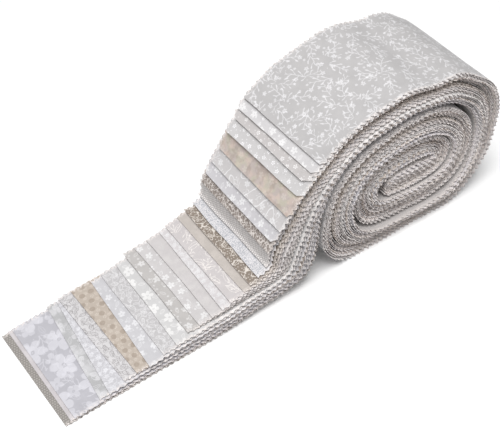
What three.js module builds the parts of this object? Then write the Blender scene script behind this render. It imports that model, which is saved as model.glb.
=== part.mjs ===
// A roll of precut quilting strips with pinked edges, lying on its side and partly let down.
// X runs along the let-down tongue towards the roll, Y across the strips and Z up, in millimetres.
// The origin is on the resting surface, under the middle of the whole object.

import * as THREE from 'three';

// Driving dimensions
const WIDTH = 63.5;        // every strip, from tooth tip to tooth tip
const CLOTH = 1.0;         // a loose strip, as thick as it lies with its nap
const GAP = 0.3;           // clear space between neighbours
const TOOTH = 3.175;       // pitch of the pinked teeth
const TOOTH_DEPTH = 1.6;   // from tip to valley
const UPPER = 9;           // strips that end on the slope and lie on the wound body
const PLIES = 4;           // ridges that the wound body's edges lie in
const GROOVE = 1.3;        // depth between the ridges

const PITCH = CLOTH + GAP;
const UPPER_THICKNESS = UPPER * PITCH;
const BODY_WIDTH = WIDTH - TOOTH_DEPTH;

// The stack from its free end, up the slope and round the roll to its middle, a row for each section.
// x, z: the stack's inner face, from the lowest strip's free end and up from the surface.
// lean: the outward direction in degrees, 90 up and turning clockwise all the way in.
// stack: the thickness that all the strips take up there.
const SECTIONS = [
  { at: 'free end',         x: 0,     z: 0,    lean: 90,   stack: 35.1 },
  { at: 'tongue',           x: 38,    z: 0,    lean: 90,   stack: 35.1 },
  { at: 'tongue',           x: 76,    z: 0,    lean: 90,   stack: 35.1 },
  { at: 'tongue lifts',     x: 96,    z: 1.4,  lean: 92,   stack: 35.1 },
  { at: 'tongue lifts',     x: 112,   z: 3.8,  lean: 101,  stack: 36.0 },
  { at: 'heel',             x: 126,   z: 4.6,  lean: 115,  stack: 37.0 },
  { at: 'heel',             x: 138.5, z: 6.4,  lean: 128,  stack: 42.0 },
  { at: 'heel',             x: 146.5, z: 11,   lean: 140,  stack: 45.0 },
  { at: 'slope foot',       x: 151.3, z: 22,   lean: 149,  stack: 45.6 },
  { at: 'slope',            x: 153,   z: 36,   lean: 151,  stack: 36.6 },
  { at: 'slope',            x: 154.5, z: 48,   lean: 149,  stack: 28.4 },
  { at: 'slope',            x: 159,   z: 60,   lean: 145,  stack: 23.8 },
  { at: 'shoulder',         x: 166.5, z: 71,   lean: 132,  stack: 19.6 },
  { at: 'first turn, top',  x: 177,   z: 78.5, lean: 113,  stack: 18.4 },
  { at: 'top',              x: 190,   z: 82.2, lean: 99,   stack: 18.7 },
  { at: 'top',              x: 205,   z: 83.7, lean: 91,   stack: 19.0 },
  { at: 'top, hollow',      x: 218,   z: 83.2, lean: 83,   stack: 16.0 },
  { at: 'top',              x: 231,   z: 79.5, lean: 71,   stack: 18.5 },
  { at: 'right',            x: 241,   z: 73.5, lean: 54,   stack: 17.6 },
  { at: 'right',            x: 249.5, z: 65,   lean: 31,   stack: 18.0 },
  { at: 'right',            x: 254.5, z: 54,   lean: 9,    stack: 17.2 },
  { at: 'right',            x: 255,   z: 43,   lean: -3,   stack: 16.8 },
  { at: 'right',            x: 253,   z: 31,   lean: -18,  stack: 16.2 },
  { at: 'right',            x: 247,   z: 20.5, lean: -38,  stack: 15.4 },
  { at: 'bottom',           x: 239,   z: 14.4, lean: -61,  stack: 15.6 },
  { at: 'bottom',           x: 226,   z: 13,   lean: -86,  stack: 13.4 },
  { at: 'bottom',           x: 208,   z: 13.2, lean: -90,  stack: 13.6 },
  { at: 'bottom',           x: 193,   z: 14.8, lean: -96,  stack: 15.3 },
  { at: 'left',             x: 184,   z: 18.5, lean: -112, stack: 19.0 },
  { at: 'left',             x: 178,   z: 24.5, lean: -135, stack: 22.0 },
  { at: 'left',             x: 175,   z: 33,   lean: -158, stack: 21.8 },
  { at: 'left',             x: 174.8, z: 43,   lean: -180, stack: 19.6 },
  { at: 'left',             x: 178,   z: 52,   lean: -204, stack: 19.0 },
  { at: 'second turn, top', x: 185.5, z: 59.3, lean: -231, stack: 18.6 },
  { at: 'top',              x: 195.5, z: 63.2, lean: -257, stack: 18.0 },
  { at: 'top',              x: 207,   z: 64.6, lean: -269, stack: 17.6 },
  { at: 'top',              x: 219,   z: 64,   lean: -279, stack: 16.8 },
  { at: 'right',            x: 229,   z: 60.5, lean: -299, stack: 15.8 },
  { at: 'right',            x: 236,   z: 54,   lean: -326, stack: 15.0 },
  { at: 'right',            x: 239,   z: 45.5, lean: -352, stack: 14.4 },
  { at: 'right',            x: 238,   z: 37.5, lean: -375, stack: 14.4 },
  { at: 'bottom',           x: 233,   z: 32.5, lean: -405, stack: 16.0 },
  { at: 'bottom',           x: 223,   z: 30.6, lean: -438, stack: 16.4 },
  { at: 'bottom',           x: 209,   z: 31,   lean: -450, stack: 16.4 },
  { at: 'bottom',           x: 198,   z: 32.2, lean: -460, stack: 16.2 },
  { at: 'left',             x: 192,   z: 34.5, lean: -487, stack: 15.6 },
  { at: 'left',             x: 190,   z: 39.5, lean: -525, stack: 14.4 },
  { at: 'left',             x: 190.8, z: 43.5, lean: -562, stack: 14.0 },
  { at: 'third turn, top',  x: 195,   z: 46.6, lean: -597, stack: 15.0 },
  { at: 'top',              x: 203,   z: 49.2, lean: -619, stack: 14.2 },
  { at: 'top',              x: 213,   z: 49.8, lean: -632, stack: 13.8 },
  { at: 'top',              x: 221.5, z: 48.8, lean: -651, stack: 12.6 },
  { at: 'middle fold',      x: 225.5, z: 47.6, lean: -690, stack: 11.6 },
  { at: 'middle fold',      x: 226,   z: 46.4, lean: -730, stack: 11.8 },
  { at: 'middle fold',      x: 224,   z: 45.8, lean: -768, stack: 14.2 },
  { at: 'last run',         x: 216,   z: 47.2, lean: -800, stack: 15.0 },
  { at: 'last run',         x: 205,   z: 47.2, lean: -811, stack: 14.8 },
  { at: 'inner end',        x: 197.5, z: 45,   lean: -820, stack: 10.5 },
];

// Where the pieces meet, counted in sections
const ROOT_LOWER = 8;      // the lower strips run into the wound body at the slope's foot
const ROOT_UPPER = 12.6;   // the upper ones at the shoulder, under the top strip
const SKIN_END = 24.2;     // the top strip covers the roll down to where it rests
const STEP = 0.03;         // the length of the body's step up at each of those places
const LAST = SECTIONS.length - 1;

// The strips from the top of the stack down.
// end: how far the free end stands back from the lowest strip's. side: how far the strip is out of
// line across the stack. skew: how far its end is out of square, over the strip's width.
const STRIPS = [
  { end: 151.6, side: 0.6,  skew: 0.0,  colour: 0xd2cfcb },
  { end: 147.0, side: 0.8,  skew: -0.5, colour: 0xdddcdb },
  { end: 143.6, side: 1.3,  skew: -0.8, colour: 0xd3cdc8 },
  { end: 139.5, side: 0.3,  skew: 0.4,  colour: 0xdadcdf },
  { end: 134.4, side: -0.5, skew: 0.5,  colour: 0xcfc6bc },
  { end: 129.4, side: 0.4,  skew: 0.0,  colour: 0xd5d1ce },
  { end: 125.2, side: -0.3, skew: -0.6, colour: 0xd5d4da },
  { end: 122.0, side: 0.2,  skew: 0.5,  colour: 0x9c9087 },
  { end: 119.4, side: -0.6, skew: -0.4, colour: 0xc6c3c2 },
  { end: 114.9, side: 0.5,  skew: 0.6,  colour: 0xe2e3e9 },
  { end: 109.8, side: -0.4, skew: 0.0,  colour: 0xa4957f },
  { end: 105.2, side: 0.3,  skew: -0.5, colour: 0xd3c8bc },
  { end: 97.8,  side: -0.2, skew: 0.9,  colour: 0xdad5d2 },
  { end: 92.6,  side: 0.6,  skew: 0.4,  colour: 0xdcdad8 },
  { end: 85.6,  side: -0.5, skew: -0.5, colour: 0xd6d4d0 },
  { end: 78.3,  side: 0.2,  skew: 0.7,  colour: 0xdbd9d7 },
  { end: 71.5,  side: 1.9,  skew: -0.9, colour: 0xd0cdc8 },
  { end: 65.0,  side: -0.4, skew: 0.3,  colour: 0xdedede },
  { end: 57.8,  side: 0.4,  skew: -0.6, colour: 0xd5d6d3 },
  { end: 50.0,  side: -0.6, skew: 0.8,  colour: 0xdcdee3 },
  { end: 41.0,  side: 0.5,  skew: 0.4,  colour: 0xd3c6b6 },
  { end: 34.5,  side: -0.3, skew: -0.4, colour: 0xe0dfde },
  { end: 29.6,  side: 0.8,  skew: 0.9,  colour: 0xdbd9dc },
  { end: 24.2,  side: -0.5, skew: -0.6, colour: 0xcdcecb },
  { end: 4.9,   side: 0.3,  skew: 0.3,  colour: 0xd2d2d9 },
  { end: 3.0,   side: -0.4, skew: 0.0,  colour: 0xe6e6e8 },
  { end: 0.5,   side: 0.0,  skew: 0.0,  colour: 0xa29a8e },
];

const LOWER = STRIPS.length - UPPER;

// One column of the table at a place between sections, on a smooth curve through its rows
function column(name, place) {
  const first = Math.min(Math.floor(place), LAST - 1);
  const t = place - first;
  const value = (row) => SECTIONS[Math.min(Math.max(row, 0), LAST)][name];
  const [a, b, c, d] = [value(first - 1), value(first), value(first + 1), value(first + 2)];
  return b + 0.5 * t * (c - a + t * (2 * a - 5 * b + 4 * c - d + t * (3 * (b - c) + d - a)));
}

// A point in the stack at a height above its inner face; nothing reaches below the surface
function pointAt(place, height) {
  const lean = THREE.MathUtils.degToRad(column('lean', place));
  const x = column('x', place) + height * Math.cos(lean);
  const z = column('z', place) + height * Math.sin(lean);
  return new THREE.Vector2(x, Math.max(z, 0));
}

// Height of a strip's lower face: the upper strips lie close together, the lower ones share the rest
function heightOf(index, place) {
  const stack = column('stack', place);
  if (index < UPPER) return stack - (index + 1) * PITCH + GAP;
  const share = (stack - UPPER_THICKNESS) / LOWER;
  return (STRIPS.length - 1 - index) * share;
}

// Places along a strip from its free end to its root, half a tooth apart
function stationsOf(index) {
  const fine = 0.01;
  let root = ROOT_LOWER;
  if (index < UPPER) root = ROOT_UPPER;
  if (index === 0) root = SKIN_END;
  const path = [];
  let length = 0;
  for (let place = 0; place < root; place += fine) {
    const point = pointAt(place, heightOf(index, place) + CLOTH / 2);
    if (path.length === 0 && point.x < STRIPS[index].end) continue;
    if (path.length > 0) length += point.distanceTo(path[path.length - 1].point);
    path.push({ place, point, length });
  }
  const usable = length - GAP;
  const steps = Math.max(2, Math.round(usable / (TOOTH / 2)));
  const stations = [];
  let next = 0;
  for (const sample of path) {
    if (sample.length < (usable * next) / steps - 1e-9) continue;
    stations.push(sample.place);
    next += 1;
    if (next > steps) break;
  }
  return stations;
}

// A closed band through cross-sections. Each section is a list of pairs, a near and a far point at
// each height from the inner face to the outer one.
function bandGeometry(sections) {
  const levels = sections[0].length;
  const points = sections.flat(2).flatMap((point) => point.toArray());
  const faces = [];
  const quad = (a, b, c, d) => faces.push(a, b, c, a, c, d);
  const near = (section, level) => 2 * (section * levels + level);
  const far = (section, level) => near(section, level) + 1;
  const last = sections.length - 1;
  for (let level = 0; level + 1 < levels; level += 1) {
    const up = level + 1;
    quad(near(0, level), near(0, up), far(0, up), far(0, level));
    quad(near(last, level), far(last, level), far(last, up), near(last, up));
    for (let here = 0; here < last; here += 1) {
      const on = here + 1;
      quad(near(here, level), near(on, level), near(on, up), near(here, up));
      quad(far(here, level), far(here, up), far(on, up), far(on, level));
    }
  }
  for (let here = 0; here < last; here += 1) {
    const on = here + 1;
    quad(near(here, levels - 1), near(on, levels - 1), far(on, levels - 1), far(here, levels - 1));
    quad(near(here, 0), far(here, 0), far(on, 0), near(on, 0));
  }
  const geometry = new THREE.BufferGeometry();
  geometry.setAttribute('position', new THREE.Float32BufferAttribute(points, 3));
  geometry.setIndex(faces);
  geometry.computeVertexNormals();
  return geometry;
}

// A strip as a closed sheet, with its edges in and out for the teeth
function stripGeometry(index) {
  const { side, skew } = STRIPS[index];
  const endLength = 6;
  const sections = stationsOf(index).map((place, step) => {
    const half = WIDTH / 2 - (step % 2 ? TOOTH_DEPTH : 0);
    const outOfSquare = (skew / WIDTH) * Math.max(0, 1 - step / endLength);
    const low = heightOf(index, place);
    return [low, low + CLOTH].map((height) => {
      const { x, y: z } = pointAt(place, height);
      const corner = (across) => new THREE.Vector3(x + outOfSquare * across, across + side, z);
      return [corner(-half), corner(half)];
    });
  });
  return bandGeometry(sections);
}

// One section of the wound body: what the loose strips on top leave of the stack, its sides ridged
function bodySection(place, onTop) {
  const thickness = column('stack', place) - onTop * PITCH;
  const section = [];
  for (let level = 0; level <= 2 * PLIES; level += 1) {
    const { x, y: z } = pointAt(place, (thickness * level) / (2 * PLIES));
    const half = BODY_WIDTH / 2 - (level % 2 ? 0 : GROOVE);
    section.push([new THREE.Vector3(x, -half, z), new THREE.Vector3(x, half, z)]);
  }
  return section;
}

// The wound body: one band coiled in from the slope's foot to its inner end, cut straight across
function rollGeometry() {
  const sections = [];
  const run = (from, to, onTop) => {
    const steps = Math.ceil((to - from) * 2);
    for (let step = 0; step <= steps; step += 1) {
      sections.push(bodySection(from + ((to - from) * step) / steps, onTop));
    }
  };
  run(ROOT_LOWER, ROOT_UPPER, UPPER);
  run(ROOT_UPPER + STEP, SKIN_END, 1);
  run(SKIN_END + STEP, LAST, 0);
  return bandGeometry(sections);
}

function cotton(colour) {
  return new THREE.MeshStandardMaterial({ color: colour, roughness: 0.95, metalness: 0 });
}

const stripRoll = new THREE.Group();

const roll = new THREE.Mesh(rollGeometry(), cotton(0xcfc8c0));
roll.name = 'roll';
stripRoll.add(roll);

STRIPS.forEach((strip, index) => {
  const mesh = new THREE.Mesh(stripGeometry(index), cotton(strip.colour));
  mesh.name = `strip_${String(index + 1).padStart(2, '0')}`;
  stripRoll.add(mesh);
});

// The table counts from the lowest strip's free end: the origin goes under the middle of the whole
const middle = new THREE.Box3().setFromObject(stripRoll).getCenter(new THREE.Vector3());
stripRoll.position.set(-middle.x, -middle.y, 0);

export default stripRoll;
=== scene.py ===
import math
from collections import namedtuple

import bpy
import numpy as np
from mathutils import Matrix, Vector


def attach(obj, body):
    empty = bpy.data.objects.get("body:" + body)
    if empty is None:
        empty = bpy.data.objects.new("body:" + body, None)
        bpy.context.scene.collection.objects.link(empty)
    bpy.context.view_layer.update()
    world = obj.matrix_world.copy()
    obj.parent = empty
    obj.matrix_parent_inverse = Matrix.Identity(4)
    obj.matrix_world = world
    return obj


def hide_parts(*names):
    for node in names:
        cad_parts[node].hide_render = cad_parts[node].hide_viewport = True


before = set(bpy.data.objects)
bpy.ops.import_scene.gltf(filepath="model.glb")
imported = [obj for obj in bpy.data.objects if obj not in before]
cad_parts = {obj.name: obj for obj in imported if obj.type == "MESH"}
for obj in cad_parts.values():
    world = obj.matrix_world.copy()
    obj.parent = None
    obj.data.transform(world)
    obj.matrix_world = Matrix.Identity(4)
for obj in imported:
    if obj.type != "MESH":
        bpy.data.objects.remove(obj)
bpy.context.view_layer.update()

# A roll of 27 pinked quilting strips on its side, partly let down. Tables are in millimetres and
# count x from just beyond the lowest strip's free end; MM turns them to metres.
MM = 0.001
WIDTH = 63.5          # a strip, from tooth tip to tooth tip
CLOTH = 0.32          # quilting cotton with its nap
SPREAD = 2.0          # how much wider the lowest strips measure in the photo
TOOTH = 3.175         # pitch of the pinked teeth
TOOTH_DEPTH = 2.0     # from tip to valley
TONGUE_TEETH = 0.57   # share of that depth on the tongue, where the teeth show less
COLUMNS = 11          # points across a strip
RIPPLE = 1.5          # how far the whole roll wanders from its even form
RIPPLE_SIZE = 24.0    # the ripples' usual size
MIDDLE = (136.3, 0.65)  # the place in the tables that lies over the part's origin

# The stack from its free end, up the slope and round the roll to its middle.
# x, z: the stack's inner face. lean: the outward direction in degrees, 90 up, leaning back up the
# slope and then turning clockwise all the way in. stack: the thickness that all the strips take
# up there. A place in the table is a row's number, and lies between rows where it isn't whole.
Section = namedtuple("Section", "x z lean stack")
SECTIONS = [
    Section(0, 0, 90, 28),
    Section(38, 0, 90, 31),
    Section(76, 0, 90, 34),
    Section(96, 1.4, 92, 35.1),
    Section(112, 3.8, 101, 36),
    Section(126, 4.6, 115, 37),
    Section(138.5, 6.4, 128, 42),
    Section(146.5, 11, 140, 45),
    Section(151.3, 22, 149, 45.6),
    Section(153, 36, 151, 36.6),
    Section(154.5, 48, 149, 28.4),
    Section(159, 60, 145, 23.8),
    Section(166.5, 71, 132, 19.6),
    Section(177, 78.5, 113, 18.4),
    Section(190, 82.2, 99, 18.7),
    Section(205, 83.7, 91, 19),
    Section(218, 83.2, 83, 16),
    Section(231, 79.5, 71, 18.5),
    Section(241, 73.5, 54, 17.6),
    Section(249.5, 65, 31, 18),
    Section(254.5, 54, 9, 17.2),
    Section(255, 43, -3, 16.8),
    Section(253, 31, -18, 16.2),
    Section(247, 20.5, -38, 15.4),
    Section(239, 14.4, -61, 15.6),
    Section(226, 13, -86, 13.4),
    Section(208, 13.2, -90, 13.6),
    Section(193, 14.8, -96, 15.3),
    Section(184, 18.5, -112, 19),
    Section(178, 24.5, -135, 22),
    Section(175, 33, -158, 21.8),
    Section(174.8, 43, -180, 19.6),
    Section(178, 52, -204, 19),
    Section(185.5, 59.3, -231, 18.6),
    Section(195.5, 63.2, -257, 18),
    Section(207, 64.6, -269, 17.6),
    Section(219, 64, -279, 16.8),
    Section(229, 60.5, -299, 15.8),
    Section(236, 54, -326, 15),
    Section(239, 45.5, -352, 14.4),
    Section(238, 37.5, -375, 14.4),
    Section(233, 32.5, -405, 16),
    Section(223, 30.6, -438, 16.4),
    Section(209, 31, -450, 16.4),
    Section(198, 32.2, -460, 16.2),
    Section(192, 34.5, -487, 15.6),
    Section(190, 39.5, -525, 14.4),
    Section(190.8, 43.5, -562, 14),
    Section(195, 46.6, -597, 15),
    Section(203, 49.2, -619, 14.2),
    Section(213, 49.8, -632, 13.8),
    Section(221.5, 48.8, -651, 12.6),
    Section(225.5, 47.6, -690, 11.6),
    Section(226, 46.4, -730, 11.8),
    Section(224, 45.8, -768, 14.2),
    Section(216, 47.2, -800, 15),
    Section(205, 47.2, -811, 14.8),
    Section(197.5, 45, -820, 10.5),
]
LAST = len(SECTIONS) - 1

# The strips from the top of the stack down. end: where the free end lies along x. side: how far it
# lies out of line across the stack. skew: how far it is out of square over the strip's width. lift:
# how far it curls up. corner: how far its corners are rounded. ground and figure: the print's
# colours. print: the print's name in PRINTS.
Strip = namedtuple("Strip", "end side skew lift corner ground figure print")
STRIPS = [
    Strip(150.5, -1.0, -1.5, 1.3, 2.0, "#B1AFAF", "#E1E0E2", "twigs"),
    Strip(146.5, -0.5, -1.5, 1.0, 3.0, "#C4C2C3", "#E9E8E8", "meadow"),
    Strip(143.0, -0.5, -0.5, 1.1, 4.5, "#B9B5B4", "#E9E7E7", "forget_me_not"),
    Strip(138.5, -1.5, -2.0, 1.6, 3.5, "#C0BEBE", "#EEEDEF", "forget_me_not"),
    Strip(132.5, -1.5, 0.5, 0.9, 2.5, "#B6ABA6", "#9A8C82", "watercolour"),
    Strip(128.0, -1.0, 0.5, 0.9, 1.0, "#C0BDBD", "#ECECED", "vine"),
    Strip(124.5, 0.0, 0.5, 1.2, 2.5, "#C0BEC1", "#E8E8E8", "meadow"),
    Strip(122.0, 0.5, 0.5, 0.6, 1.5, "#887E78", "#DAD3CE", "scroll"),
    Strip(120.5, 1.5, 0.0, 0.5, 0.3, "#B0ACAB", "#F5F1EE", "dashes"),
    Strip(115.5, 0.5, 1.0, 0.5, 0.3, "#D4D2D4", "#A4A7AD", "fine_scroll"),
    Strip(110.0, -0.5, 0.5, 0.5, 0.3, "#8A7F75", "#DCD5CD", "loops"),
    Strip(105.5, -1.0, -0.5, 0.2, 1.0, "#B8B1AB", "#CEC6C0", "plain"),
    Strip(98.0, -0.5, 0.5, 0.3, 0.3, "#C3BEBE", "#E6E1DD", "line_leaves"),
    Strip(93.5, -0.5, 1.5, 0.2, 0.3, "#CAC6C7", "#DEDEDF", "lace"),
    Strip(87.0, 0.0, -0.5, 0.3, 0.3, "#C3BFBF", "#D3D1CE", "plain"),
    Strip(80.0, 1.0, -1.0, 0.2, 0.3, "#C4C1C1", "#E8E8E8", "meadow"),
    Strip(73.0, 1.5, -1.0, 0.8, 0.3, "#B7B4B2", "#E4E3E3", "meadow"),
    Strip(66.5, -1.0, 0.5, 0.3, 0.3, "#C7C6C6", "#EBEAE9", "small_blossom"),
    Strip(58.0, -1.0, -1.0, 0.2, 0.3, "#BAB8B9", "#E0DFE0", "leaves"),
    Strip(50.0, -2.0, 2.0, 0.2, 0.3, "#C2C1C4", "#E4E4E6", "meadow"),
    Strip(41.5, -0.5, -2.5, 0.3, 0.3, "#B7ACA1", "#9D9084", "spots"),
    Strip(34.5, 0.0, -3.0, 0.2, 0.3, "#CDCBCC", "#878384", "leaves"),
    Strip(29.5, -1.0, 5.0, 0.2, 0.3, "#C0BFC3", "#E3E3E7", "lace"),
    Strip(24.5, 0.0, 4.5, 0.3, 0.3, "#B0B0B1", "#DAD9DC", "garden"),
    Strip(6.5, -1.5, -2.0, 0.1, 0.3, "#B3B2B8", "#D6D5DB", "blossom"),
    Strip(5.0, -1.0, -2.0, 0.1, 0.3, "#C2BDBF", "#DBD8D9", "plain"),
    Strip(1.5, -1.5, -2.5, 0.0, 0.3, "#8B8783", "#B7B2AD", "dashes"),
]
COUNT = len(STRIPS)

# A layer of a print. figure: its drawing in FIGURES. cell: the repeat. size: half the figure's
# height. jitter: how far it strays in its cell, as a share. turn: how far it turns, as a share of
# a full turn. detail: the number of petals or the line's width. strength: how much it covers.
# colour: its own, where it isn't the strip's figure colour. Dots and clouds don't use detail, and
# scrolls and clouds aren't in cells: cell is their scale, and size, jitter and turn say nothing.
# The finest scribbles are drawn a little coarser than in the cloth, so that they show.
Layer = namedtuple("Layer", "figure cell size jitter turn detail strength colour", defaults=[None])
PRINTS = {
    "plain": [Layer("cloud", 9.0, 1.0, 0.0, 0.0, 0.3, 0.25)],
    "twigs": [
        Layer("twig", 12.0, 5.6, 0.15, 1.0, 0.030, 0.6),
        Layer("twig", 13.0, 4.6, 0.5, 1.0, 0.032, 0.5),
        Layer("flower", 8.5, 1.35, 0.5, 1.0, 5, 0.5),
        Layer("flower", 6.5, 0.8, 0.6, 1.0, 5, 0.5),
    ],
    "meadow": [
        Layer("flower", 8.0, 2.0, 0.5, 1.0, 5, 0.6),
        Layer("leaf", 6.0, 1.8, 0.5, 1.0, 0.10, 0.45),
        Layer("flower", 4.6, 0.7, 0.7, 1.0, 4, 0.5),
    ],
    "forget_me_not": [
        Layer("ring_of_dots", 5.2, 1.2, 0.5, 1.0, 5, 0.8),
        Layer("dot", 3.1, 0.3, 0.7, 0.0, 1, 0.5),
    ],
    "watercolour": [
        Layer("cloud", 12.0, 1.0, 0.0, 0.0, 0.3, 0.55, "#B9B7A2"),
        Layer("cloud", 10.0, 1.0, 0.0, 0.0, 0.3, 0.5, "#CDB9AE"),
        Layer("cloud", 8.0, 1.0, 0.0, 0.0, 0.3, 0.5),
        Layer("flower", 9.0, 1.8, 0.6, 1.0, 5, 0.2, "#E6DFD5"),
    ],
    "vine": [
        Layer("scroll", 9.0, 1.0, 0.0, 0.0, 0.024, 0.65),
        Layer("flower", 9.0, 1.9, 0.5, 1.0, 6, 0.45),
        Layer("twig", 9.0, 3.2, 0.5, 1.0, 0.035, 0.45),
    ],
    "line_leaves": [
        Layer("leaf", 8.5, 3.6, 0.35, 1.0, 0.05, 0.9),
        Layer("twig", 10.0, 4.4, 0.4, 1.0, 0.028, 0.9),
    ],
    "scroll": [
        Layer("scroll", 2.3, 1.0, 0.0, 0.0, 0.08, 0.85),
        Layer("scroll", 1.9, 1.0, 0.0, 0.0, 0.06, 0.6),
    ],
    "fine_scroll": [Layer("scroll", 1.15, 1.0, 0.0, 0.0, 0.10, 0.85)],
    "loops": [
        Layer("scroll", 5.0, 1.0, 0.0, 0.0, 0.034, 1.0),
        Layer("leaf", 7.5, 2.6, 0.5, 1.0, 0.07, 0.95),
        Layer("dot", 1.7, 0.3, 0.5, 0.0, 1, 0.75),
    ],
    "blossom": [
        Layer("flower", 17.0, 7.4, 0.25, 1.0, 5, 0.6),
        Layer("flower", 12.0, 4.0, 0.5, 1.0, 4, 0.45),
        Layer("twig", 15.0, 6.0, 0.3, 1.0, 0.04, 0.45),
        Layer("leaf", 9.0, 3.0, 0.5, 1.0, 0.06, 0.35),
    ],
    "small_blossom": [
        Layer("flower", 9.5, 3.2, 0.4, 1.0, 5, 0.65),
        Layer("leaf", 5.0, 1.8, 0.5, 1.0, 0.10, 0.5),
    ],
    "lace": [
        Layer("flower", 3.7, 1.35, 0.4, 1.0, 5, 0.5),
        Layer("leaf", 3.0, 1.2, 0.5, 1.0, 0.12, 0.5),
        Layer("scroll", 3.4, 1.0, 0.0, 0.0, 0.05, 0.4),
    ],
    "leaves": [
        Layer("leaf", 4.8, 2.3, 0.35, 1.0, 0.085, 0.65),
        Layer("leaf", 3.5, 1.4, 0.5, 1.0, 0.12, 0.55),
        Layer("scroll", 4.5, 1.0, 0.0, 0.0, 0.03, 0.5),
    ],
    "garden": [
        Layer("cloud", 14.0, 1.0, 0.0, 0.0, 0.3, 0.5),
        Layer("flower", 12.0, 4.4, 0.3, 1.0, 5, 0.5),
        Layer("leaf", 6.5, 2.4, 0.5, 1.0, 0.08, 0.5),
    ],
    "spots": [
        Layer("ring_of_dots", 3.1, 1.1, 0.4, 1.0, 5, 0.4, "#DED5CB"),
        Layer("dot", 5.2, 1.45, 0.12, 0.0, 1, 0.7),
    ],
    "dashes": [Layer("dot", 1.3, 0.42, 0.1, 0.0, 1, 0.6)],
}


def column(name, place):
    """One column of the table at places between sections, on a smooth curve through its rows."""
    values = np.array([getattr(section, name) for section in SECTIONS], float)
    first = np.minimum(np.floor(place).astype(int), LAST - 1)
    t = place - first
    a, b, c, d = (values[np.clip(first + step, 0, LAST)] for step in (-1, 0, 1, 2))
    return b + 0.5 * t * (c - a + t * (2 * a - 5 * b + 4 * c - d + t * (3 * (b - c) + d - a)))


def ramp(value, start, length):
    """0 up to the start, then rising evenly to 1 over the length."""
    return np.clip((value - start) / length, 0, 1)


def hump(value, middle, reach):
    """A smooth hump, 1 at its middle and dying out on both sides."""
    return np.exp(-(((value - middle) / reach) ** 2))


def level_of(index):
    """A strip's top in the stack, as a share of it: 1 for the uppermost."""
    return (COUNT - index) / COUNT


def width_of(index):
    """A strip's width from tip to tip: strip 19 is the last plain one, and the lowest five have
    all of the spread."""
    last_plain, steps = 18, 4
    return WIDTH + SPREAD * min(max((index - last_plain) / steps, 0), 1)


def share_below(level, place):
    """The share of the stack under a level, from 0 to 1. The strips bunch in six groups, more so
    further into the roll."""
    least, most, growth = 0.1, 0.36, 0.02
    packing = np.clip(least + growth * place, least, most)
    groups = 6
    phase = 1.1 * np.sin(0.45 * place) + 0.7 * np.sin(0.17 * place + 1.0)
    wave = np.sin(2 * math.pi * groups * level + phase) - np.sin(phase)
    return level + packing * wave / (2 * math.pi * groups)


def telescoped(index, place):
    """How far a strip stands out of the near face. The slope starts at place 4 and the roll at 11;
    the gap closes at 23.5, past the right end; the underside is at 26.5, the outer turn ends at 30
    and the core starts at 34. Each turn has a rim, a valley, a rib and a gap, strongest in the outer
    one; the core is drawn in; the lower middle strips are fanned out as far as the roll; and the
    strips wander, in rows of a few and each by itself."""
    level = level_of(index)
    on_slope, on_roll = ramp(place, 4, 4), ramp(place, 11, 4)
    outer = 1 - ramp(place, 27, 3)
    underneath = hump(place, 26.5, 2.2)
    rim = (1.3 - 3.0 * underneath) * hump(level, 0.925, 0.05)
    valley = -(0.9 + 2.6 * outer) * hump(level, 0.70, 0.13)
    rib = (0.6 + 1.1 * outer) * hump(level, 0.32, 0.13)
    open_before = np.clip((23.5 - place) / 1.5, -0.6, 1)
    gap = -2.6 * open_before * outer * hump(level, 0.04, 0.08)
    core = -2.4 * ramp(place, 34, 14)
    drift = 0.6 * np.sin(0.33 * place + 3 * level)
    in_a_row = 3.4
    rows = 0.5 * np.cos(2 * math.pi * index / in_a_row + 0.8 * np.sin(0.31 * place))
    own = 0.2 * np.sin(0.9 * place + 7.3 * index) + 0.2 * np.sin(2.9 * place + 4.1 * index)
    mildness = 0.65
    relief = mildness * (rim + valley + rib + gap + core) + drift + rows + own
    fanned = 2.0 * hump(level, 0.36, 0.22) * ramp(place, 1.5, 3) * (1 - ramp(place, 12, 6))
    return (0.4 * on_slope + 0.6 * on_roll) * relief + fanned


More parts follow.
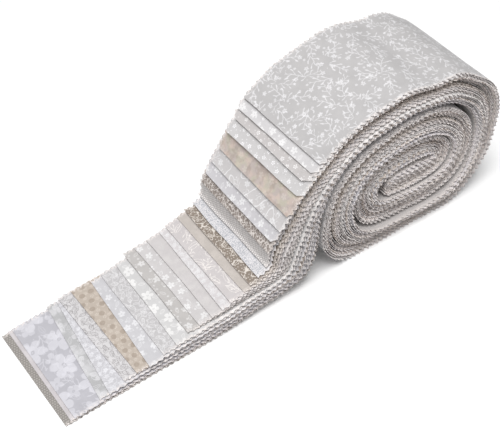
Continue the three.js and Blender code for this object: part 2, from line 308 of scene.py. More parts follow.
def strip_path(index):
    """A strip's inner face from free end to inner end, as x and z, what goes with each point, and
    the strip's length. The stack is at least as thick as the cloth needs, but where it faces down
    it ends at the floor."""
    strip = STRIPS[index]
    fine = 0.02
    inner_end = LAST - 0.2 * (1 + math.sin(2.4 * index))
    place = np.arange(0, inner_end, fine)
    x, z, lean = column("x", place), column("z", place), np.radians(column("lean", place))
    looseness = 1.12
    tightest = looseness * CLOTH * COUNT
    downward, facing_down = -np.sin(lean), 0.3
    room = np.where(downward > facing_down, z / np.maximum(downward, facing_down), np.inf)
    stack = np.minimum(np.maximum(column("stack", place), tightest), room)
    level = level_of(index)
    top = stack * share_below(level, place)
    pitch = top - stack * share_below(level - 1 / COUNT, place)
    start = int(np.argmax(x + top * np.cos(lean) >= strip.end))
    x, z, lean, top, pitch, place = (row[start:] for row in (x, z, lean, top, pitch, place))
    run = np.hypot(np.diff(x + top * np.cos(lean)), np.diff(z + top * np.sin(lean)))
    along = np.concatenate([[0], np.cumsum(run)])

    # The free end settles on the strip below, curls up at its tip, and has its own side step, slant
    # and corners, which die out along the strip while the steps in the near face set in
    if index < COUNT - 1:
        settle, curl, clearance = 9.0, 2.4, 0.04
        gap = pitch - CLOTH - clearance
        top = top - gap * np.exp(-along / settle) + strip.lift * np.exp(-along / curl)
    low = top - CLOTH
    lasting, fading = 0.25, 50
    straighter = lasting + (1 - lasting) * np.exp(-along / fading)
    set_in = 1 - np.exp(-along / 12)
    side = strip.side * straighter - telescoped(index, place) * set_in
    skew = strip.skew / width_of(index) * (1 - ramp(along, 0, 9.5))
    to_corner = 1 - ramp(along, 0, strip.corner)
    corner = strip.corner * (1 - np.sqrt(1 - to_corner**2))
    teeth = TONGUE_TEETH + (1 - TONGUE_TEETH) * ramp(place, 3, 8)
    extras = {"side": side * MM, "skew": skew, "corner": corner * MM, "teeth": teeth}
    return x + low * np.cos(lean), np.maximum(z + low * np.sin(lean), 0), extras, along[-1]


def find(sockets, key):
    """The socket with a number, or the one in use with a name."""
    if isinstance(key, int):
        return sockets[key]
    return next(socket for socket in sockets if socket.name == key and socket.enabled)


def add(tree, kind, inputs=(), **settings):
    """Adds a node with its settings. inputs gives sockets by number or name, and each gets a value,
    a socket or a node, whose first output is meant."""
    node = tree.nodes.new(kind)
    for name, value in settings.items():
        setattr(node, name, value)
    for key, value in inputs.items() if isinstance(inputs, dict) else enumerate(inputs):
        socket = find(node.inputs, key)
        if isinstance(value, bpy.types.Node):
            value = next(output for output in value.outputs if output.enabled)
        if isinstance(value, bpy.types.NodeSocket):
            tree.links.new(value, socket)
        else:
            socket.default_value = value
    return node


def new_group(name, kind, inputs, outputs):
    """An empty node group with named sockets, and its input and output nodes."""
    tree = bpy.data.node_groups.new(name, kind)
    for direction, sockets in (("INPUT", inputs), ("OUTPUT", outputs)):
        for socket_name, socket_kind in sockets.items():
            tree.interface.new_socket(socket_name, in_out=direction, socket_type=socket_kind)
    return tree, tree.nodes.new("NodeGroupInput"), tree.nodes.new("NodeGroupOutput")


FLOAT = "NodeSocketFloat"
VECTOR = "NodeSocketVector"
MATH = "ShaderNodeMath"
VECTOR_MATH = "ShaderNodeVectorMath"


def pinked_strip_tree():
    """Lays a cloth with pinked edges along a path: its printed side out, its reverse and its cut
    edge, and its flat place on the cloth as a UV map in metres."""
    tree, given, made = new_group(
        "pinked strip",
        "GeometryNodeTree",
        {
            "Path": "NodeSocketGeometry",
            "Width": FLOAT,
            "Thickness": FLOAT,
            "Tooth Pitch": FLOAT,
            "Tooth Depth": FLOAT,
            "Columns": "NodeSocketInt",
            "Ripple": FLOAT,
            "Ripple Size": FLOAT,
            "Seed": "NodeSocketInt",
            "Cloth": "NodeSocketMaterial",
        },
        {"Strip": "NodeSocketGeometry"},
    )
    tree.is_modifier = True
    step = add(tree, MATH, [given.outputs["Tooth Pitch"], 2.0], operation="DIVIDE")
    curve = add(tree, "GeometryNodeMeshToCurve", [given.outputs["Path"]])
    path = add(tree, "GeometryNodeResampleCurve", {"Curve": curve, "Length": step}, mode="LENGTH")
    stations = add(tree, "GeometryNodeAttributeDomainSize", [path], component="CURVE")
    columns = given.outputs["Columns"]
    grid = add(
        tree,
        "GeometryNodeMeshGrid",
        {"Vertices X": find(stations.outputs, "Point Count"), "Vertices Y": columns},
    )

    point = add(tree, "GeometryNodeInputIndex")
    station = add(
        tree, MATH, [add(tree, MATH, [point, columns], operation="DIVIDE")], operation="FLOOR"
    )
    place_across = add(tree, MATH, [point, columns], operation="MODULO")

    centre = add(
        tree,
        "GeometryNodeSampleIndex",
        {"Geometry": path, "Value": add(tree, "GeometryNodeInputPosition"), "Index": station},
        data_type="FLOAT_VECTOR",
    )
    carried = []
    for name in ("side", "skew", "corner", "teeth"):
        stored = add(tree, "GeometryNodeInputNamedAttribute", {"Name": name}, data_type="FLOAT")
        carried.append(
            add(
                tree,
                "GeometryNodeSampleIndex",
                {"Geometry": path, "Value": stored, "Index": station},
                data_type="FLOAT",
            )
        )
    side, skew, corner, teeth = carried

    # Across the cloth, the outermost column stepping in at every second station, no two alike, and
    # a trace at the others, where the tips are worn
    last_column = add(tree, MATH, [columns, 1.0], operation="SUBTRACT")
    share = add(tree, MATH, [place_across, last_column], operation="DIVIDE")
    centred = add(tree, MATH, [share, 0.5], operation="SUBTRACT")
    even = add(tree, MATH, [centred, given.outputs["Width"]], operation="MULTIPLY")
    odd = add(tree, MATH, [station, 2.0], operation="MODULO")
    chance = add(
        tree,
        "FunctionNodeRandomValue",
        {"Min": 0.55, "Max": 1.1, "ID": station, "Seed": given.outputs["Seed"]},
        data_type="FLOAT",
    )
    worn = add(tree, MATH, [odd, 0.85, 0.15], operation="MULTIPLY_ADD")
    whole_share = add(tree, MATH, [worn, chance], operation="MULTIPLY")
    share_cut = add(tree, MATH, [whole_share, teeth], operation="MULTIPLY")
    notch = add(tree, MATH, [share_cut, given.outputs["Tooth Depth"]], operation="MULTIPLY")
    half = add(tree, MATH, [given.outputs["Width"], 0.5], operation="MULTIPLY")
    cut = add(tree, MATH, [half, notch], operation="SUBTRACT")
    limit = add(tree, MATH, [cut, corner], operation="SUBTRACT")
    opposite = add(tree, MATH, [limit, -1.0], operation="MULTIPLY")
    across = add(
        tree,
        MATH,
        [add(tree, MATH, [even, limit], operation="MINIMUM"), opposite],
        operation="MAXIMUM",
    )

    out_of_line = add(tree, MATH, [across, side], operation="ADD")
    out_of_square = add(tree, MATH, [across, skew], operation="MULTIPLY")
    shift = add(tree, "ShaderNodeCombineXYZ", [out_of_square, out_of_line])
    laid = add(tree, VECTOR_MATH, [centre, shift], operation="ADD")

    # One wandering field for every strip, so that neighbours wander together; it dies out at the floor
    finer = add(tree, MATH, [1.0, given.outputs["Ripple Size"]], operation="DIVIDE")
    noise = add(
        tree,
        "ShaderNodeTexNoise",
        {"Vector": laid, "Scale": finer, "Detail": 1.0, "Roughness": 0.4},
    )
    signed = add(
        tree, VECTOR_MATH, [find(noise.outputs, "Color"), (0.5, 0.5, 0.5)], operation="SUBTRACT"
    )
    height = find(add(tree, "ShaderNodeSeparateXYZ", [laid]).outputs, "Z")
    freedom = add(
        tree, "ShaderNodeMapRange", {"Value": height, "From Min": 0.0, "From Max": 12 * MM}
    )
    amount = add(tree, MATH, [freedom, given.outputs["Ripple"]], operation="MULTIPLY")
    wander = add(tree, VECTOR_MATH, {0: signed, "Scale": amount}, operation="SCALE")
    rippled = add(tree, VECTOR_MATH, [laid, wander], operation="ADD")

    along = add(tree, MATH, [station, step], operation="MULTIPLY")
    flat_place = add(tree, "ShaderNodeCombineXYZ", [along, across])
    # The index is read on the grid's points, so the flat place is kept on points before corners
    kept = add(
        tree,
        "GeometryNodeStoreNamedAttribute",
        {"Geometry": grid, "Name": "flat_place", "Value": flat_place},
        data_type="FLOAT_VECTOR",
        domain="POINT",
    )
    sheet = add(tree, "GeometryNodeSetPosition", {"Geometry": kept, "Position": rippled})
    mapped = add(
        tree,
        "GeometryNodeStoreNamedAttribute",
        {
            "Geometry": sheet,
            "Name": "UVMap",
            "Value": add(
                tree,
                "GeometryNodeInputNamedAttribute",
                {"Name": "flat_place"},
                data_type="FLOAT_VECTOR",
            ),
        },
        data_type="FLOAT2",
        domain="CORNER",
    )
    printed = add(
        tree,
        "GeometryNodeExtrudeMesh",
        {"Mesh": mapped, "Offset Scale": given.outputs["Thickness"], "Individual": False},
        mode="FACES",
    )
    edged = add(
        tree,
        "GeometryNodeStoreNamedAttribute",
        {
            "Geometry": printed,
            "Selection": find(printed.outputs, "Side"),
            "Name": "cut_edge",
            "Value": 1.0,
        },
        data_type="FLOAT",
        domain="FACE",
    )
    turned = add(tree, "GeometryNodeFlipFaces", [mapped])
    reverse = add(
        tree,
        "GeometryNodeStoreNamedAttribute",
        {"Geometry": turned, "Name": "reverse", "Value": 1.0},
        data_type="FLOAT",
        domain="FACE",
    )
    both = add(tree, "GeometryNodeJoinGeometry", [edged])
    tree.links.new(reverse.outputs[0], both.inputs[0])
    closed = add(
        tree, "GeometryNodeMergeByDistance", {"Geometry": both, "Distance": 0.01 * MM}
    )
    real = add(tree, "GeometryNodeRealizeInstances", [closed])
    dressed = add(
        tree,
        "GeometryNodeSetMaterial",
        {"Geometry": real, "Material": given.outputs["Cloth"]},
    )
    tree.links.new(dressed.outputs[0], made.inputs[0])
    return tree


def linear(hex_colour):
    """An sRGB hex colour as linear RGBA."""
    parts = [int(hex_colour[i : i + 2], 16) / 255 for i in (1, 3, 5)]
    return tuple(c / 12.92 if c <= 0.04045 else ((c + 0.055) / 1.055) ** 2.4 for c in parts) + (1,)


def repeat_group():
    """A print's repeat: staggered cells, each with its own place, turned and moved at random."""
    tree, given, made = new_group(
        "print repeat",
        "ShaderNodeTree",
        {"Cloth": VECTOR, "Cell": FLOAT, "Size": FLOAT, "Jitter": FLOAT, "Turn": FLOAT, "Seed": FLOAT},
        {"Place": VECTOR},
    )
    finer = add(tree, MATH, [1.0, given.outputs["Cell"]], operation="DIVIDE")
    cells = add(tree, VECTOR_MATH, {0: given.outputs["Cloth"], "Scale": finer}, operation="SCALE")
    split = add(tree, "ShaderNodeSeparateXYZ", [cells])
    shifted = add(tree, MATH, [split.outputs["Y"], given.outputs["Seed"]], operation="ADD")
    row = add(tree, MATH, [shifted], operation="FLOOR")
    half_row = add(tree, MATH, [row, 0.5], operation="MULTIPLY")
    stagger = add(tree, MATH, [half_row], operation="FRACT")
    x = add(tree, MATH, [split.outputs["X"], stagger], operation="ADD")
    point = add(tree, "ShaderNodeCombineXYZ", [x, shifted, given.outputs["Seed"]])
    cell = add(tree, VECTOR_MATH, [point], operation="FLOOR")
    chance = add(tree, "ShaderNodeTexWhiteNoise", {"Vector": cell}, noise_dimensions="3D")
    inside = add(tree, VECTOR_MATH, [point], operation="FRACTION")
    centred = add(tree, VECTOR_MATH, [inside, (0.5, 0.5, 0.5)], operation="SUBTRACT")
    stray = add(
        tree, VECTOR_MATH, [find(chance.outputs, "Color"), (0.5, 0.5, 0.5)], operation="SUBTRACT"
    )
    strayed = add(
        tree, VECTOR_MATH, {0: stray, "Scale": given.outputs["Jitter"]}, operation="SCALE"
    )
    moved = add(tree, VECTOR_MATH, [centred, strayed], operation="SUBTRACT")
    grow = add(tree, MATH, [given.outputs["Cell"], given.outputs["Size"]], operation="DIVIDE")
    sized = add(tree, VECTOR_MATH, {0: moved, "Scale": grow}, operation="SCALE")
    turns = add(
        tree, MATH, [find(chance.outputs, "Value"), given.outputs["Turn"]], operation="MULTIPLY"
    )
    angle = add(tree, MATH, [turns, 2 * math.pi], operation="MULTIPLY")
    turned = add(
        tree, "ShaderNodeVectorRotate", {"Vector": sized, "Angle": angle}, rotation_type="Z_AXIS"
    )
    # A wavering hand: no two figures are drawn quite alike
    apart = add(tree, VECTOR_MATH, [cell, turned], operation="ADD")
    hand = add(tree, "ShaderNodeTexNoise", {"Vector": apart, "Scale": 1.6, "Detail": 2.0})
    waver = add(
        tree, VECTOR_MATH, [find(hand.outputs, "Color"), (0.5, 0.5, 0.5)], operation="SUBTRACT"
    )
    wavered = add(tree, VECTOR_MATH, [waver, (0.4, 0.4, 0.4), turned], operation="MULTIPLY_ADD")
    flat = add(tree, VECTOR_MATH, [wavered, (1.0, 1.0, 0.0)], operation="MULTIPLY")
    tree.links.new(flat.outputs[0], made.inputs["Place"])
    return tree


def figure_group(name):
    """A figure's drawing group: from a place in its cell to how much of the cloth it covers."""
    return new_group(name, "ShaderNodeTree", {"Place": VECTOR, "Detail": FLOAT}, {"Mask": FLOAT})


def ink_group():
    """Ink that covers the cloth where a distance is under the edge, fading out over the softness."""
    tree, given, made = new_group(
        "print ink",
        "ShaderNodeTree",
        {"Distance": FLOAT, "Edge": FLOAT, "Softness": FLOAT},
        {"Mask": FLOAT},
    )
    over = add(
        tree, MATH, [given.outputs["Distance"], given.outputs["Edge"]], operation="SUBTRACT"
    )
    faded = add(tree, MATH, [over, given.outputs["Softness"]], operation="DIVIDE")
    covered = add(tree, MATH, [1.0, faded], operation="SUBTRACT", use_clamp=True)
    tree.links.new(covered.outputs[0], made.inputs["Mask"])
    return tree


INK = ink_group()


def flower_group():
    """A flower with rounded petals, notches between them and a small open middle."""
    tree, given, made = figure_group("print flower")
    split = add(tree, "ShaderNodeSeparateXYZ", [given.outputs["Place"]])
    angle = add(tree, MATH, [split.outputs["Y"], split.outputs["X"]], operation="ARCTAN2")
    radius = add(tree, VECTOR_MATH, [given.outputs["Place"]], operation="LENGTH")
    half = add(tree, MATH, [given.outputs["Detail"], 0.5], operation="MULTIPLY")
    swing = add(
        tree, MATH, [add(tree, MATH, [angle, half], operation="MULTIPLY")], operation="COSINE"
    )
    petal = add(tree, MATH, [swing], operation="ABSOLUTE")
    rounded = add(tree, MATH, [petal, 0.6], operation="POWER")
    reach = add(tree, MATH, [rounded, 0.62, 0.36], operation="MULTIPLY_ADD")
    over = add(tree, MATH, [find(radius.outputs, "Value"), reach], operation="SUBTRACT")
    shape = add(
        tree, "ShaderNodeGroup", {"Distance": over, "Edge": -0.05, "Softness": 0.10}, node_tree=INK
    )
    middle = add(
        tree,
        "ShaderNodeGroup",
        {"Distance": find(radius.outputs, "Value"), "Edge": 0.12, "Softness": 0.08},
        node_tree=INK,
    )
    open_middle = add(tree, MATH, [1.0, middle], operation="SUBTRACT")
    eye = add(
        tree,
        "ShaderNodeGroup",
        {"Distance": find(radius.outputs, "Value"), "Edge": 0.03, "Softness": 0.04},
        node_tree=INK,
    )
    with_hole = add(tree, MATH, [shape, open_middle], operation="MULTIPLY")
    drawn = add(tree, MATH, [with_hole, eye], operation="MAXIMUM")
    tree.links.new(drawn.outputs[0], made.inputs["Mask"])
    return tree


def ring_of_dots_group():
    """Petals drawn as a ring of dots round one more. The distance to the nearest dot's centre
    comes from the law of cosines."""
    ring = 0.65
    tree, given, made = figure_group("print ring of dots")
    split = add(tree, "ShaderNodeSeparateXYZ", [given.outputs["Place"]])
    angle = add(tree, MATH, [split.outputs["Y"], split.outputs["X"]], operation="ARCTAN2")
    radius = add(tree, VECTOR_MATH, [given.outputs["Place"]], operation="LENGTH")
    sector = add(tree, MATH, [2 * math.pi, given.outputs["Detail"]], operation="DIVIDE")
    wrapped = add(tree, MATH, [angle, sector], operation="PINGPONG")
    opening = add(tree, MATH, [wrapped, 2.0], operation="MULTIPLY")
    toward = add(tree, MATH, [opening, sector], operation="SUBTRACT")
    halved = add(tree, MATH, [toward, 0.5], operation="MULTIPLY")
    turn = add(tree, MATH, [halved], operation="COSINE")
    doubled = add(tree, MATH, [find(radius.outputs, "Value"), 2 * ring], operation="MULTIPLY")
    product = add(tree, MATH, [doubled, turn], operation="MULTIPLY")
    square = add(
        tree,
        MATH,
        [find(radius.outputs, "Value"), find(radius.outputs, "Value"), ring**2],
        operation="MULTIPLY_ADD",
    )
    gap = add(tree, MATH, [square, product], operation="SUBTRACT")
    near = add(tree, MATH, [gap], operation="SQRT")
    dots = add(
        tree, "ShaderNodeGroup", {"Distance": near, "Edge": 0.24, "Softness": 0.10}, node_tree=INK
    )
    middle = add(
        tree,
        "ShaderNodeGroup",
        {"Distance": find(radius.outputs, "Value"), "Edge": 0.14, "Softness": 0.08},
        node_tree=INK,
    )
    drawn = add(tree, MATH, [dots, middle], operation="MAXIMUM")
    tree.links.new(drawn.outputs[0], made.inputs["Mask"])
    return tree


def dot_group():
    """A round dot that all but fills its size."""
    tree, given, made = figure_group("print dot")
    radius = add(tree, VECTOR_MATH, [given.outputs["Place"]], operation="LENGTH")
    drawn = add(
        tree,
        "ShaderNodeGroup",
        {"Distance": find(radius.outputs, "Value"), "Edge": 0.92, "Softness": 0.16},
        node_tree=INK,
    )
    tree.links.new(drawn.outputs[0], made.inputs["Mask"])
    return tree


def twig_group():
    """A bent stem with side twigs in turn, each with a bud at its tip. Detail is the line's width.
    Square on is the cosine of the twigs' rise: a height becomes a distance from their line."""
    every, rise, square_on, reach = 0.72, 0.95, 0.72, 0.40
    tree, given, made = figure_group("print twig")
    split = add(tree, "ShaderNodeSeparateXYZ", [given.outputs["Place"]])
    y = split.outputs["Y"]
    sway = add(
        tree, MATH, [add(tree, MATH, [y, 2.4], operation="MULTIPLY")], operation="SINE"
    )
    bend = add(tree, MATH, [sway, 0.16], operation="MULTIPLY")
    x = add(tree, MATH, [split.outputs["X"], bend], operation="SUBTRACT")
    beside = add(tree, MATH, [x], operation="ABSOLUTE")
    tall = add(tree, MATH, [y], operation="ABSOLUTE")
    within = add(
        tree, "ShaderNodeGroup", {"Distance": tall, "Edge": 0.93, "Softness": 0.04}, node_tree=INK
    )
    width = given.outputs["Detail"]
    stem_edge = add(tree, MATH, [beside, width], operation="SUBTRACT")
    stem = add(
        tree,
        "ShaderNodeGroup",
        {"Distance": stem_edge, "Edge": -0.02, "Softness": 0.04},
        node_tree=INK,
    )

    # The twigs leave the stem upwards, every second one on the other side
    right = add(tree, MATH, [x, 0.0], operation="GREATER_THAN")
    turn_about = add(tree, MATH, [right, every / 2], operation="MULTIPLY")
    rising = add(tree, MATH, [beside, -rise, y], operation="MULTIPLY_ADD")
    level = add(tree, MATH, [rising, turn_about], operation="ADD")
    cycle = add(tree, MATH, [level, every], operation="DIVIDE")
    phase = add(tree, MATH, [cycle], operation="FRACT")
    offset = add(tree, MATH, [phase, 0.5], operation="SUBTRACT")
    away = add(tree, MATH, [offset], operation="ABSOLUTE")
    distance = add(tree, MATH, [away, every * square_on], operation="MULTIPLY")
    twig_edge = add(tree, MATH, [distance, width], operation="SUBTRACT")
    line = add(
        tree,
        "ShaderNodeGroup",
        {"Distance": twig_edge, "Edge": -0.02, "Softness": 0.04},
        node_tree=INK,
    )
    short = add(
        tree, "ShaderNodeGroup", {"Distance": beside, "Edge": reach, "Softness": 0.04}, node_tree=INK
    )
    twigs = add(tree, MATH, [line, short], operation="MULTIPLY")
    from_tip = add(tree, MATH, [beside, reach + 0.04], operation="SUBTRACT")
    bud_place = add(tree, "ShaderNodeCombineXYZ", [from_tip, distance])
    bud_distance = add(tree, VECTOR_MATH, [bud_place], operation="LENGTH")
    buds = add(
        tree,
        "ShaderNodeGroup",
        {"Distance": find(bud_distance.outputs, "Value"), "Edge": 0.07, "Softness": 0.04},
        node_tree=INK,
    )
    sprays = add(tree, MATH, [twigs, buds], operation="MAXIMUM")
    lines = add(tree, MATH, [sprays, stem], operation="MAXIMUM")
    drawn = add(tree, MATH, [lines, within], operation="MULTIPLY")
    tree.links.new(drawn.outputs[0], made.inputs["Mask"])
    return tree


def leaf_group():
    """A pointed leaf drawn as an outline with its midrib. Detail is the line's width, and a wide
    line fills the leaf."""
    tree, given, made = figure_group("print leaf")
    split = add(tree, "ShaderNodeSeparateXYZ", [given.outputs["Place"]])
    y = split.outputs["Y"]
    beside = add(tree, MATH, [split.outputs["X"]], operation="ABSOLUTE")
    square = add(tree, MATH, [y, y], operation="MULTIPLY")
    taper = add(tree, MATH, [1.0, square], operation="SUBTRACT")
    outline = add(tree, MATH, [taper, 0.42], operation="MULTIPLY")
    over = add(tree, MATH, [beside, outline], operation="SUBTRACT")
    from_line = add(tree, MATH, [over], operation="ABSOLUTE")
    width = given.outputs["Detail"]
    edge = add(tree, MATH, [from_line, width], operation="SUBTRACT")
    line = add(
        tree, "ShaderNodeGroup", {"Distance": edge, "Edge": -0.05, "Softness": 0.06}, node_tree=INK
    )
    tall = add(tree, MATH, [y], operation="ABSOLUTE")
    within = add(
        tree, "ShaderNodeGroup", {"Distance": tall, "Edge": 0.98, "Softness": 0.05}, node_tree=INK
    )
    bounded = add(tree, MATH, [line, within], operation="MULTIPLY")
    rib = add(
        tree, "ShaderNodeGroup", {"Distance": beside, "Edge": 0.02, "Softness": 0.05}, node_tree=INK
    )
    short = add(
        tree, "ShaderNodeGroup", {"Distance": tall, "Edge": 0.8, "Softness": 0.05}, node_tree=INK
    )
    midrib = add(tree, MATH, [rib, short], operation="MULTIPLY")
    drawn = add(tree, MATH, [bounded, midrib], operation="MAXIMUM")
    tree.links.new(drawn.outputs[0], made.inputs["Mask"])
    return tree


def scroll_group():
    """Meandering lines, as of a vine or a scribble. Place is the cloth's own, in cells."""
    tree, given, made = figure_group("print scroll")
    noise = add(
        tree, "ShaderNodeTexNoise", {"Vector": given.outputs["Place"], "Scale": 1.0, "Detail": 0.6}
    )
    centred = add(tree, MATH, [find(noise.outputs, "Fac"), 0.5], operation="SUBTRACT")
    away = add(tree, MATH, [centred], operation="ABSOLUTE")
    edge = add(tree, MATH, [given.outputs["Detail"], 0.5], operation="MULTIPLY")
    over = add(tree, MATH, [away, edge], operation="SUBTRACT")
    drawn = add(
        tree, "ShaderNodeGroup", {"Distance": over, "Edge": -0.01, "Softness": 0.02}, node_tree=INK
    )
    tree.links.new(drawn.outputs[0], made.inputs["Mask"])
    return tree


def cloud_group():
    """Soft washes of colour with irregular edges."""
    tree, given, made = figure_group("print cloud")
    noise = add(
        tree,
        "ShaderNodeTexNoise",
        {"Vector": given.outputs["Place"], "Scale": 1.7, "Detail": 3.0, "Roughness": 0.55},
    )
    flipped = add(tree, MATH, [1.0, find(noise.outputs, "Fac")], operation="SUBTRACT")
    drawn = add(
        tree,
        "ShaderNodeGroup",
        {"Distance": flipped, "Edge": 0.40, "Softness": 0.12},
        node_tree=INK,
    )
    tree.links.new(drawn.outputs[0], made.inputs["Mask"])
    return tree


FIGURES = {
    "flower": flower_group(),
    "ring_of_dots": ring_of_dots_group(),
    "dot": dot_group(),
    "twig": twig_group(),
    "leaf": leaf_group(),
    "scroll": scroll_group(),
    "cloud": cloud_group(),
}
UNBROKEN = ("scroll", "cloud")  # drawn over the whole cloth, not in cells
REPEAT = repeat_group()


def print_mask(tree, cloth, layer, seed):
    """How much a print's layer covers at each point of the cloth. The seed moves it, by odd steps
    so that no two layers line up."""
    if layer.figure in UNBROKEN:
        place = add(
            tree, VECTOR_MATH, [cloth, (seed * 0.11, seed * 0.07, seed)], operation="ADD"
        )
        place = add(
            tree, VECTOR_MATH, {0: place, "Scale": 1 / (layer.cell * MM)}, operation="SCALE"
        )
    else:
        place = add(
            tree,
            "ShaderNodeGroup",
            node_tree=REPEAT,
            inputs={
                "Cloth": cloth,
                "Cell": layer.cell * MM,
                "Size": layer.size * MM,
                "Jitter": layer.jitter,
                "Turn": layer.turn,
                "Seed": 1.37 * seed,
            },
        )
    drawn = add(
        tree,
        "ShaderNodeGroup",
        node_tree=FIGURES[layer.figure],
        inputs={"Place": place, "Detail": float(layer.detail)},
    )
    return add(tree, MATH, [drawn, layer.strength], operation="MULTIPLY")


REVERSE = "#DAD5D4"    # the back of the cloth, where the print barely shows
BLEACHED = "#F0E8E4"   # frayed threads
# Painted shade: the dark colour of the specks between frayed threads on the cut edge
PAINTED_HOLLOW_SHADE = "#85706B"     # the shade between frayed threads


def quilting_cotton(name, strip, width, seed):
    """Plain-woven printed quilting cotton: dead matt, with a faint bloom of fine nap at a glance,
    soft unevenness in the dye, a paler reverse where the print barely shows, and a frayed cut edge
    with pale threads and specks of painted shade between them. The weave's threads are 0.25 mm apart,
    drawn at 0.6 mm so that they show."""
    material = bpy.data.materials.new(name)
    material.use_nodes = True
    tree = material.node_tree
    tree.nodes.clear()
    cloth = add(tree, "ShaderNodeUVMap", uv_map="UVMap")

    dye = add(
        tree,
        "ShaderNodeTexNoise",
        {"Vector": cloth, "Scale": 1 / (9 * MM), "Detail": 3.0, "Roughness": 0.6},
    )
    uneven = add(
        tree,
        "ShaderNodeMapRange",
        {"Value": dye, "From Min": 0.3, "From Max": 0.7, "To Min": 0.94, "To Max": 1.04},
    )
    coats = []
    for number, layer in enumerate(PRINTS[strip.print]):
        mask = print_mask(tree, cloth, layer, 3 * seed + number)
        coats.append((mask, linear(layer.colour or strip.figure)))

    reverse = add(tree, "ShaderNodeAttribute", attribute_name="reverse")
    faint = add(tree, MATH, [reverse.outputs["Fac"], 0.6], operation="MULTIPLY")
    coats.append((faint, linear(REVERSE)))

    # Frayed threads pale the last millimetres and the cut edge in specks. Between the pale specks on
    # the cut edge, dark specks of painted shade stand in for the shade between the threads
    fray_starts, fray_full = width / 2 - 2.8, width / 2 - 0.9
    split = add(tree, "ShaderNodeSeparateXYZ", [cloth])
    off_middle = add(tree, MATH, [split.outputs["Y"]], operation="ABSOLUTE")
    outwards = add(
        tree,
        "ShaderNodeMapRange",
        {"Value": off_middle, "From Min": fray_starts * MM, "From Max": fray_full * MM},
    )
    edge = add(tree, "ShaderNodeAttribute", attribute_name="cut_edge")
    frayed = add(tree, MATH, [outwards, edge.outputs["Fac"]], operation="MAXIMUM")
    fray_and_shade_noise = add(tree, "ShaderNodeTexNoise", {"Vector": cloth, "Scale": 1 / (1.1 * MM), "Detail": 2.0})
    specks = add(
        tree, "ShaderNodeMapRange", {"Value": fray_and_shade_noise, "From Min": 0.44, "From Max": 0.56}
    )
    pale = add(tree, MATH, [frayed, specks], operation="MULTIPLY")
    own, bleached, dyed_share = linear(strip.ground), linear(BLEACHED), 0.25
    mixed = [dyed_share * a + (1 - dyed_share) * b for a, b in zip(own, bleached)]
    coats.append((pale, tuple(mixed)))
    # Painted shade: darker specks on the cut edge where shade falls between frayed threads
    painted_shade_specks = add(
        tree, "ShaderNodeMapRange", {"Value": fray_and_shade_noise, "From Min": 0.5, "From Max": 0.4, "To Max": 0.55}
    )
    painted_shade_mask = add(tree, MATH, [edge.outputs["Fac"], painted_shade_specks], operation="MULTIPLY")
    coats.append((painted_shade_mask, linear(PAINTED_HOLLOW_SHADE)))

    colour = own
    for mask, coat in coats:
        colour = add(
            tree, "ShaderNodeMix", {"Factor": mask, "A": colour, "B": coat}, data_type="RGBA"
        )
    shades = add(tree, "ShaderNodeCombineColor", [uneven, uneven, uneven])
    dyed = add(
        tree,
        "ShaderNodeMix",
        {"Factor": 1.0, "A": colour, "B": shades},
        data_type="RGBA",
        blend_type="MULTIPLY",
    )

    weave = []
    thread = 0.6 * MM
    for axis in ("X", "Y"):
        turns = add(
            tree, MATH, [split.outputs[axis], 2 * math.pi / thread], operation="MULTIPLY"
        )
        weave.append(add(tree, MATH, [turns], operation="SINE"))
    woven = add(tree, MATH, weave, operation="MULTIPLY")
    nap = add(
        tree, "ShaderNodeTexNoise", {"Vector": cloth, "Scale": 1 / (1.4 * MM), "Detail": 4.0}
    )
    relief = add(tree, MATH, [woven, 0.35, nap], operation="MULTIPLY_ADD")
    bump = add(
        tree, "ShaderNodeBump", {"Strength": 0.5, "Distance": 0.06 * MM, "Height": relief}
    )
    surface = add(
        tree,
        "ShaderNodeBsdfPrincipled",
        {
            "Base Color": dyed,
            "Roughness": 0.92,
            "Specular IOR Level": 0.25,
            "Sheen Weight": 0.12,
            "Sheen Roughness": 0.6,
            "Normal": bump,
        },
    )
    output = add(tree, "ShaderNodeOutputMaterial")
    tree.links.new(surface.outputs[0], output.inputs["Surface"])
    return material


def plain_mesh(thing):
    """The object's mesh as its modifiers leave it, in place of them."""
    finished = bpy.data.meshes.new_from_object(
        thing.evaluated_get(bpy.context.evaluated_depsgraph_get())
    )
    thing.modifiers.clear()
    thing.data = finished
    return finished


def make_strip(index, tree, shift):
    """One whole strip, from its free end to its inner end in the roll, and its length."""
    strip = STRIPS[index]
    number = f"{index + 1:02}"
    x, z, extras, length = strip_path(index)
    points = np.stack([x, np.zeros_like(x), z], 1) * MM + shift
    path = bpy.data.meshes.new(f"pinked_strip_{number}")
    path.from_pydata(points.tolist(), [(i, i + 1) for i in range(len(points) - 1)], [])
    for name, values in extras.items():
        path.attributes.new(name, "FLOAT", "POINT").data.foreach_set("value", values)
    piece = bpy.data.objects.new(f"pinked_strip_{number}", path)
    bpy.context.scene.collection.objects.link(piece)
    modifier = piece.modifiers.new("pinked strip", "NODES")
    modifier.node_group = tree
    values = {
        "Width": width_of(index) * MM,
        "Thickness": CLOTH * MM,
        "Tooth Pitch": TOOTH * MM,
        "Tooth Depth": TOOTH_DEPTH * MM,
        "Columns": COLUMNS,
        "Ripple": RIPPLE * MM,
        "Ripple Size": RIPPLE_SIZE * MM,
        "Seed": index + 1,
        "Cloth": quilting_cotton(
            f"printed quilting cotton {number}", strip, width_of(index), index + 1
        ),
    }
    for socket in tree.interface.items_tree:
        if socket.name in values:
            modifier[socket.identifier] = values[socket.name]
    mesh = plain_mesh(piece)
    mesh.name = piece.name
    for name in ("flat_place", *extras):
        if name in mesh.attributes:
            mesh.attributes.remove(mesh.attributes[name])
    mesh.polygons.foreach_set("use_smooth", [True] * len(mesh.polygons))
    sharp = math.radians(40)
    mesh.set_sharp_from_angle(angle=sharp)
    return piece, length


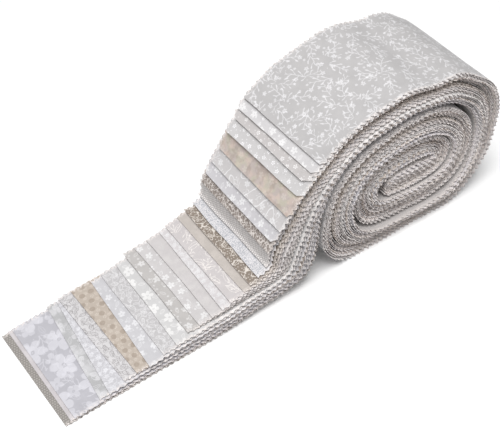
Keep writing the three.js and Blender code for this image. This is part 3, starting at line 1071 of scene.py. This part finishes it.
def make_roll():
    """All the strips, from the top of the stack down, each standing for its CAD node."""
    shift = Vector((-MIDDLE[0] * MM, -MIDDLE[1] * MM, 0))
    tree = pinked_strip_tree()
    pieces = [make_strip(index, tree, np.array(shift)) for index in range(COUNT)]
    for index, (piece, length) in enumerate(pieces):
        number = f"{index + 1:02}"
        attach(piece, "root")
        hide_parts(f"strip_{number}", "roll")


def make_camera():
    """The camera where the photo was taken from, worked out from the strips' ends."""
    turn, drop, roll = math.radians(56.52), math.radians(47.50), math.radians(1.82)
    place = (-0.19093, -0.28290, 0.40404)
    ahead = Vector(
        (math.cos(turn) * math.cos(drop), math.sin(turn) * math.cos(drop), -math.sin(drop))
    )
    level = Vector((math.sin(turn), -math.cos(turn), 0))
    down = ahead.cross(level)
    right = math.cos(roll) * level + math.sin(roll) * down
    down = math.cos(roll) * down - math.sin(roll) * level
    camera = bpy.data.objects.new("camera", bpy.data.cameras.new("camera"))
    camera.data.sensor_width = 36
    camera.data.lens = 70.72
    camera.matrix_world = Matrix(
        (
            (right.x, -down.x, -ahead.x, place[0]),
            (right.y, -down.y, -ahead.y, place[1]),
            (right.z, -down.z, -ahead.z, place[2]),
            (0, 0, 0, 1),
        )
    )
    bpy.context.scene.collection.objects.link(camera)
    bpy.context.scene.camera = camera


def make_light(name, place, target, size, energy):
    """A square soft light aimed at a point."""
    lamp = bpy.data.lights.new(name, "AREA")
    lamp.size = size
    lamp.energy = energy
    light = bpy.data.objects.new(name, lamp)
    light.location = place
    light.rotation_euler = (Vector(target) - Vector(place)).to_track_quat("-Z", "Y").to_euler()
    bpy.context.scene.collection.objects.link(light)


def make_studio():
    """A plain pale floor, an even sky and one soft lamp overhead, a little to the left and front."""
    mesh = bpy.data.meshes.new("floor")
    reach = 4.0
    corners = [(-reach, -reach, 0), (reach, -reach, 0), (reach, reach, 0), (-reach, reach, 0)]
    mesh.from_pydata(corners, [], [(0, 1, 2, 3)])
    floor = bpy.data.objects.new("floor", mesh)
    bpy.context.scene.collection.objects.link(floor)
    paper = bpy.data.materials.new("matt white backdrop paper")
    paper.use_nodes = True
    surface = paper.node_tree.nodes["Principled BSDF"]
    surface.inputs["Base Color"].default_value = linear("#FBFBFB")
    surface.inputs["Roughness"].default_value = 1.0
    surface.inputs["Specular IOR Level"].default_value = 0.0
    mesh.materials.append(paper)

    world = bpy.data.worlds.new("soft studio")
    world.use_nodes = True
    sky = world.node_tree.nodes["Background"]
    sky.inputs["Color"].default_value = (1, 1, 1, 1)
    sky.inputs["Strength"].default_value = 0.37
    bpy.context.scene.world = world
    overhead, middle = (-0.2, -0.24, 1.08), (0, 0, 0.03)
    make_light("key", overhead, middle, size=0.55, energy=12.3)
    bpy.context.scene.view_settings.view_transform = "Standard"


make_camera()
make_roll()
make_studio()
